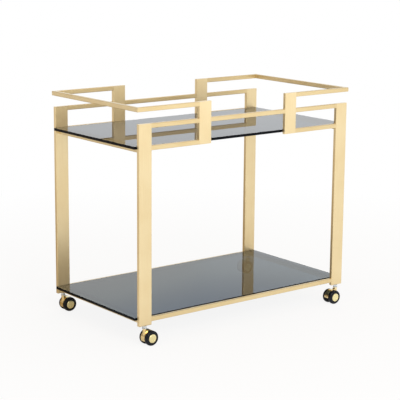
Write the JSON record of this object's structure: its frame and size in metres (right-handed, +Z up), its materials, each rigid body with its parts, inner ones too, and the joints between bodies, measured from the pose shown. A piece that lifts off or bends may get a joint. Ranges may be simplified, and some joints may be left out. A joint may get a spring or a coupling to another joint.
{
  "type": "bar cart",
  "caption": "Rolling bar cart with flat-tube side frames, an open key-pattern guard round its upper tray, smoked glass shelves and hooded casters",
  "frame": {"origin": "on the floor under the middle of the cart", "axes": "+X along the cart, +Y from the front side to the rear side, +Z up"},
  "size_m": [0.914, 0.5378, 0.782],
  "materials": {
    "frame": "satin brushed along the tubes",
    "glass": "smoked grey, polished bevelled edges",
    "pads": "clear soft plastic",
    "zinc": "zinc plated",
    "hood": "polished",
    "wheel": "smooth black tread",
    "hub_cap": "polished, plain field"
  },
  "bodies": {
    "cart": {"leg_front_left": "frame", "leg_front_right": "frame", "leg_rear_left": "frame", "leg_rear_right": "frame", "foot_plugs": "frame", "stile_front_left": "frame", "stile_front_right": "frame", "stile_rear_left": "frame", "stile_rear_right": "frame", "mid_rail_front_left": "frame", "mid_rail_front_right": "frame", "mid_rail_rear_left": "frame", "mid_rail_rear_right": "frame", "centre_rail_front": "frame", "centre_rail_rear": "frame", "under_rail_front_left": "frame", "under_rail_front_right": "frame", "under_rail_rear_left": "frame", "under_rail_rear_right": "frame", "guard_side_front_left": "frame", "guard_side_front_right": "frame", "guard_side_rear_left": "frame", "guard_side_rear_right": "frame", "guard_end_left": "frame", "guard_end_right": "frame", "lower_rail_front": "frame", "lower_rail_rear": "frame", "cross_rail_upper_left": "frame", "cross_rail_upper_right": "frame", "cross_rail_lower_left": "frame", "cross_rail_lower_right": "frame", "glass_upper": "glass", "glass_lower": "glass", "glass_pads": "pads", "caster_stems": "zinc", "stem_nuts": "zinc"},
    "caster_front_left": {"hood_front_left": "hood", "axle_front_left": "zinc"},
    "wheel_front_left_a": {"wheel_front_left_a": "wheel", "hub_cap_front_left_a": "hub_cap"},
    "wheel_front_left_b": {"wheel_front_left_b": "wheel", "hub_cap_front_left_b": "hub_cap"},
    "caster_front_right": {"hood_front_right": "hood", "axle_front_right": "zinc"},
    "wheel_front_right_a": {"wheel_front_right_a": "wheel", "hub_cap_front_right_a": "hub_cap"},
    "wheel_front_right_b": {"wheel_front_right_b": "wheel", "hub_cap_front_right_b": "hub_cap"},
    "caster_rear_left": {"hood_rear_left": "hood", "axle_rear_left": "zinc"},
    "wheel_rear_left_a": {"wheel_rear_left_a": "wheel", "hub_cap_rear_left_a": "hub_cap"},
    "wheel_rear_left_b": {"wheel_rear_left_b": "wheel", "hub_cap_rear_left_b": "hub_cap"},
    "caster_rear_right": {"hood_rear_right": "hood", "axle_rear_right": "zinc"},
    "wheel_rear_right_a": {"wheel_rear_right_a": "wheel", "hub_cap_rear_right_a": "hub_cap"},
    "wheel_rear_right_b": {"wheel_rear_right_b": "wheel", "hub_cap_rear_right_b": "hub_cap"}
  },
  "joints": [
    {"name": "swivel_front_left", "type": "hinge", "parent": "cart", "child": "caster_front_left", "pos_m": [-0.425, -0.24575, 0.05], "axis": [0, 0, 1], "continuous": true},
    {"name": "roll_front_left_a", "type": "hinge", "parent": "caster_front_left", "child": "wheel_front_left_a", "pos_m": [-0.4075, -0.2295, 0.025], "axis": [0, 1, 0], "continuous": true},
    {"name": "roll_front_left_b", "type": "hinge", "parent": "caster_front_left", "child": "wheel_front_left_b", "pos_m": [-0.4075, -0.262, 0.025], "axis": [0, 1, 0], "continuous": true},
    {"name": "swivel_front_right", "type": "hinge", "parent": "cart", "child": "caster_front_right", "pos_m": [0.425, -0.24575, 0.05], "axis": [0, 0, 1], "continuous": true},
    {"name": "roll_front_right_a", "type": "hinge", "parent": "caster_front_right", "child": "wheel_front_right_a", "pos_m": [0.40722, -0.26169, 0.025], "axis": [-0.0175, -0.9998, 0], "continuous": true},
    {"name": "roll_front_right_b", "type": "hinge", "parent": "caster_front_right", "child": "wheel_front_right_b", "pos_m": [0.40779, -0.2292, 0.025], "axis": [-0.0175, -0.9998, 0], "continuous": true},
    {"name": "swivel_rear_left", "type": "hinge", "parent": "cart", "child": "caster_rear_left", "pos_m": [-0.425, 0.24575, 0.05], "axis": [0, 0, 1], "continuous": true},
    {"name": "roll_rear_left_a", "type": "hinge", "parent": "caster_rear_left", "child": "wheel_rear_left_a", "pos_m": [-0.40641, 0.26074, 0.025], "axis": [0.0698, 0.9976, 0], "continuous": true},
    {"name": "roll_rear_left_b", "type": "hinge", "parent": "caster_rear_left", "child": "wheel_rear_left_b", "pos_m": [-0.40868, 0.22832, 0.025], "axis": [0.0698, 0.9976, 0], "continuous": true},
    {"name": "swivel_rear_right", "type": "hinge", "parent": "cart", "child": "caster_rear_right", "pos_m": [0.425, 0.24575, 0.05], "axis": [0, 0, 1], "continuous": true},
    {"name": "roll_rear_right_a", "type": "hinge", "parent": "caster_rear_right", "child": "wheel_rear_right_a", "pos_m": [0.4075, 0.2295, 0.025], "axis": [0, -1, 0], "continuous": true},
    {"name": "roll_rear_right_b", "type": "hinge", "parent": "caster_rear_right", "child": "wheel_rear_right_b", "pos_m": [0.4075, 0.262, 0.025], "axis": [0, -1, 0], "continuous": true}
  ]
}
